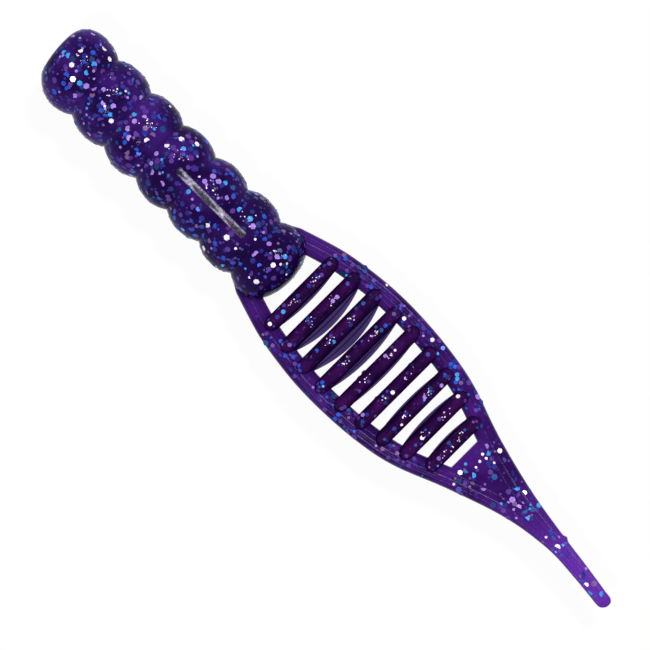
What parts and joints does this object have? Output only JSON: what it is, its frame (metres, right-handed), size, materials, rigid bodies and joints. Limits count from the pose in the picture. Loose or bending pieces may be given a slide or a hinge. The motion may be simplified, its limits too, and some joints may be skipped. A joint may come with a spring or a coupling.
{
  "type": "soft plastic worm",
  "caption": "Small soft plastic fishing worm: beaded body with a hook groove, slatted leaf frame and thin tail, bending at its soft necks.",
  "frame": {"origin": "centre of the flat nose face", "axes": "+X from the nose face to the tail tip, +Z out of the side with the hook groove, +Y across the leaf"},
  "size_m": [0.05, 0.0088, 0.0054],
  "materials": {
    "soft_bead": "glossy translucent deep violet soft plastic",
    "soft_leaf": "glossy translucent violet soft plastic",
    "glitter": "metallised hexagonal foil flakes in blue, cyan, lilac and silver"
  },
  "bodies": {
    "nose_bead": {"nose_bead": "soft_bead", "nose_bead_glitter": "glitter"},
    "neck_1": {"neck_1": "soft_bead"},
    "bead_2": {"bead_2": "soft_bead", "bead_2_glitter": "glitter"},
    "neck_2": {"neck_2": "soft_bead"},
    "bead_3": {"bead_3": "soft_bead", "bead_3_glitter": "glitter"},
    "neck_3": {"neck_3": "soft_bead"},
    "bead_4": {"bead_4": "soft_bead", "bead_4_glitter": "glitter"},
    "neck_4": {"neck_4": "soft_bead"},
    "bead_5": {"bead_5": "soft_bead", "bead_5_glitter": "glitter"},
    "neck_5": {"neck_5": "soft_bead"},
    "bead_6": {"bead_6": "soft_bead", "bead_6_glitter": "glitter"},
    "neck_6": {"neck_6": "soft_bead"},
    "bead_7": {"bead_7": "soft_bead", "bead_7_glitter": "glitter", "left_rail_root": "soft_leaf", "right_rail_root": "soft_leaf", "rail_flex_1": "soft_leaf"},
    "leaf_front": {"left_rail_front": "soft_leaf", "right_rail_front": "soft_leaf", "slat_1": "soft_leaf", "slat_2": "soft_leaf", "slat_3": "soft_leaf", "leaf_front_glitter": "glitter", "rail_flex_2": "soft_leaf"},
    "leaf_middle": {"left_rail_middle": "soft_leaf", "right_rail_middle": "soft_leaf", "slat_4": "soft_leaf", "slat_5": "soft_leaf", "slat_6": "soft_leaf", "leaf_middle_glitter": "glitter", "rail_flex_3": "soft_leaf"},
    "leaf_rear": {"left_rail_rear": "soft_leaf", "right_rail_rear": "soft_leaf", "slat_7": "soft_leaf", "slat_8": "soft_leaf", "slat_9": "soft_leaf", "leaf_rear_glitter": "glitter", "tail_plate": "soft_leaf", "tail_plate_glitter": "glitter", "tail_flex_1": "soft_leaf"},
    "tail_root": {"tail_root": "soft_leaf", "tail_root_glitter": "glitter"},
    "tail_flex_2": {"tail_flex_2": "soft_leaf"},
    "tail_middle": {"tail_middle": "soft_leaf"},
    "tail_flex_3": {"tail_flex_3": "soft_leaf"},
    "tail_tip": {"tail_tip": "soft_leaf"}
  },
  "joints": [
    {"name": "neck_1_nod", "type": "hinge", "parent": "nose_bead", "child": "neck_1", "pos_m": [0.00334, 0, 0], "axis": [0, 1, 0], "range_deg": [-12, 12], "stiffness_Nm_per_rad": 0.0045, "deforming": ["neck_1"]},
    {"name": "neck_1_sway", "type": "hinge", "parent": "neck_1", "child": "bead_2", "pos_m": [0.00334, 0, 0], "axis": [0, 0, 1], "range_deg": [-12, 12], "stiffness_Nm_per_rad": 0.0045, "deforming": ["neck_1"]},
    {"name": "neck_2_nod", "type": "hinge", "parent": "bead_2", "child": "neck_2", "pos_m": [0.00625, 0, 0], "axis": [0, 1, 0], "range_deg": [-12, 12], "stiffness_Nm_per_rad": 0.0045, "deforming": ["neck_2"]},
    {"name": "neck_2_sway", "type": "hinge", "parent": "neck_2", "child": "bead_3", "pos_m": [0.00625, 0, 0], "axis": [0, 0, 1], "range_deg": [-12, 12], "stiffness_Nm_per_rad": 0.0045, "deforming": ["neck_2"]},
    {"name": "neck_3_nod", "type": "hinge", "parent": "bead_3", "child": "neck_3", "pos_m": [0.00916, 0, 0], "axis": [0, 1, 0], "range_deg": [-12, 12], "stiffness_Nm_per_rad": 0.0045, "deforming": ["neck_3"]},
    {"name": "neck_3_sway", "type": "hinge", "parent": "neck_3", "child": "bead_4", "pos_m": [0.00916, 0, 0], "axis": [0, 0, 1], "range_deg": [-12, 12], "stiffness_Nm_per_rad": 0.0045, "deforming": ["neck_3"]},
    {"name": "neck_4_nod", "type": "hinge", "parent": "bead_4", "child": "neck_4", "pos_m": [0.01207, 0, 0], "axis": [0, 1, 0], "range_deg": [-12, 12], "stiffness_Nm_per_rad": 0.0045, "deforming": ["neck_4"]},
    {"name": "neck_4_sway", "type": "hinge", "parent": "neck_4", "child": "bead_5", "pos_m": [0.01207, 0, 0], "axis": [0, 0, 1], "range_deg": [-12, 12], "stiffness_Nm_per_rad": 0.0045, "deforming": ["neck_4"]},
    {"name": "neck_5_nod", "type": "hinge", "parent": "bead_5", "child": "neck_5", "pos_m": [0.01498, 0, 0], "axis": [0, 1, 0], "range_deg": [-12, 12], "stiffness_Nm_per_rad": 0.0045, "deforming": ["neck_5"]},
    {"name": "neck_5_sway", "type": "hinge", "parent": "neck_5", "child": "bead_6", "pos_m": [0.01498, 0, 0], "axis": [0, 0, 1], "range_deg": [-12, 12], "stiffness_Nm_per_rad": 0.0045, "deforming": ["neck_5"]},
    {"name": "neck_6_nod", "type": "hinge", "parent": "bead_6", "child": "neck_6", "pos_m": [0.01789, 0, 0], "axis": [0, 1, 0], "range_deg": [-12, 12], "stiffness_Nm_per_rad": 0.0045, "deforming": ["neck_6"]},
    {"name": "neck_6_sway", "type": "hinge", "parent": "neck_6", "child": "bead_7", "pos_m": [0.01789, 0, 0], "axis": [0, 0, 1], "range_deg": [-12, 12], "stiffness_Nm_per_rad": 0.0045, "deforming": ["neck_6"]},
    {"name": "leaf_root_flap", "type": "hinge", "parent": "bead_7", "child": "leaf_front", "pos_m": [0.02131, 0, 0], "axis": [0, 1, 0], "range_deg": [-15, 15], "stiffness_Nm_per_rad": 0.0002, "deforming": ["rail_flex_1"]},
    {"name": "leaf_waist_flap", "type": "hinge", "parent": "leaf_front", "child": "leaf_middle", "pos_m": [0.02635, 0, 0], "axis": [0, 1, 0], "range_deg": [-12, 12], "stiffness_Nm_per_rad": 0.0002, "deforming": ["rail_flex_2"]},
    {"name": "leaf_rear_flap", "type": "hinge", "parent": "leaf_middle", "child": "leaf_rear", "pos_m": [0.03145, 0, 0], "axis": [0, 1, 0], "range_deg": [-12, 12], "stiffness_Nm_per_rad": 0.0002, "deforming": ["rail_flex_3"]},
    {"name": "tail_root_flap", "type": "hinge", "parent": "leaf_rear", "child": "tail_root", "pos_m": [0.0396, 0.00019, 0], "axis": [0, 1, 0], "range_deg": [-20, 20], "stiffness_Nm_per_rad": 0.00012, "deforming": ["tail_flex_1"]},
    {"name": "tail_middle_flap", "type": "hinge", "parent": "tail_root", "child": "tail_flex_2", "pos_m": [0.0433, 0.00027, 0], "axis": [0, 1, 0], "range_deg": [-20, 20], "stiffness_Nm_per_rad": 0.00002, "deforming": ["tail_flex_2"]},
    {"name": "tail_middle_sway", "type": "hinge", "parent": "tail_flex_2", "child": "tail_middle", "pos_m": [0.0433, 0.00027, 0], "axis": [0, 0, 1], "range_deg": [-18, 18], "stiffness_Nm_per_rad": 0.00002, "deforming": ["tail_flex_2"]},
    {"name": "tail_tip_flap", "type": "hinge", "parent": "tail_middle", "child": "tail_flex_3", "pos_m": [0.0466, 0.0001, 0], "axis": [0, 1, 0], "range_deg": [-25, 25], "stiffness_Nm_per_rad": 0.000008, "deforming": ["tail_flex_3"]},
    {"name": "tail_tip_sway", "type": "hinge", "parent": "tail_flex_3", "child": "tail_tip", "pos_m": [0.0466, 0.0001, 0], "axis": [0, 0, 1], "range_deg": [-20, 20], "stiffness_Nm_per_rad": 0.000008, "deforming": ["tail_flex_3"]}
  ]
}
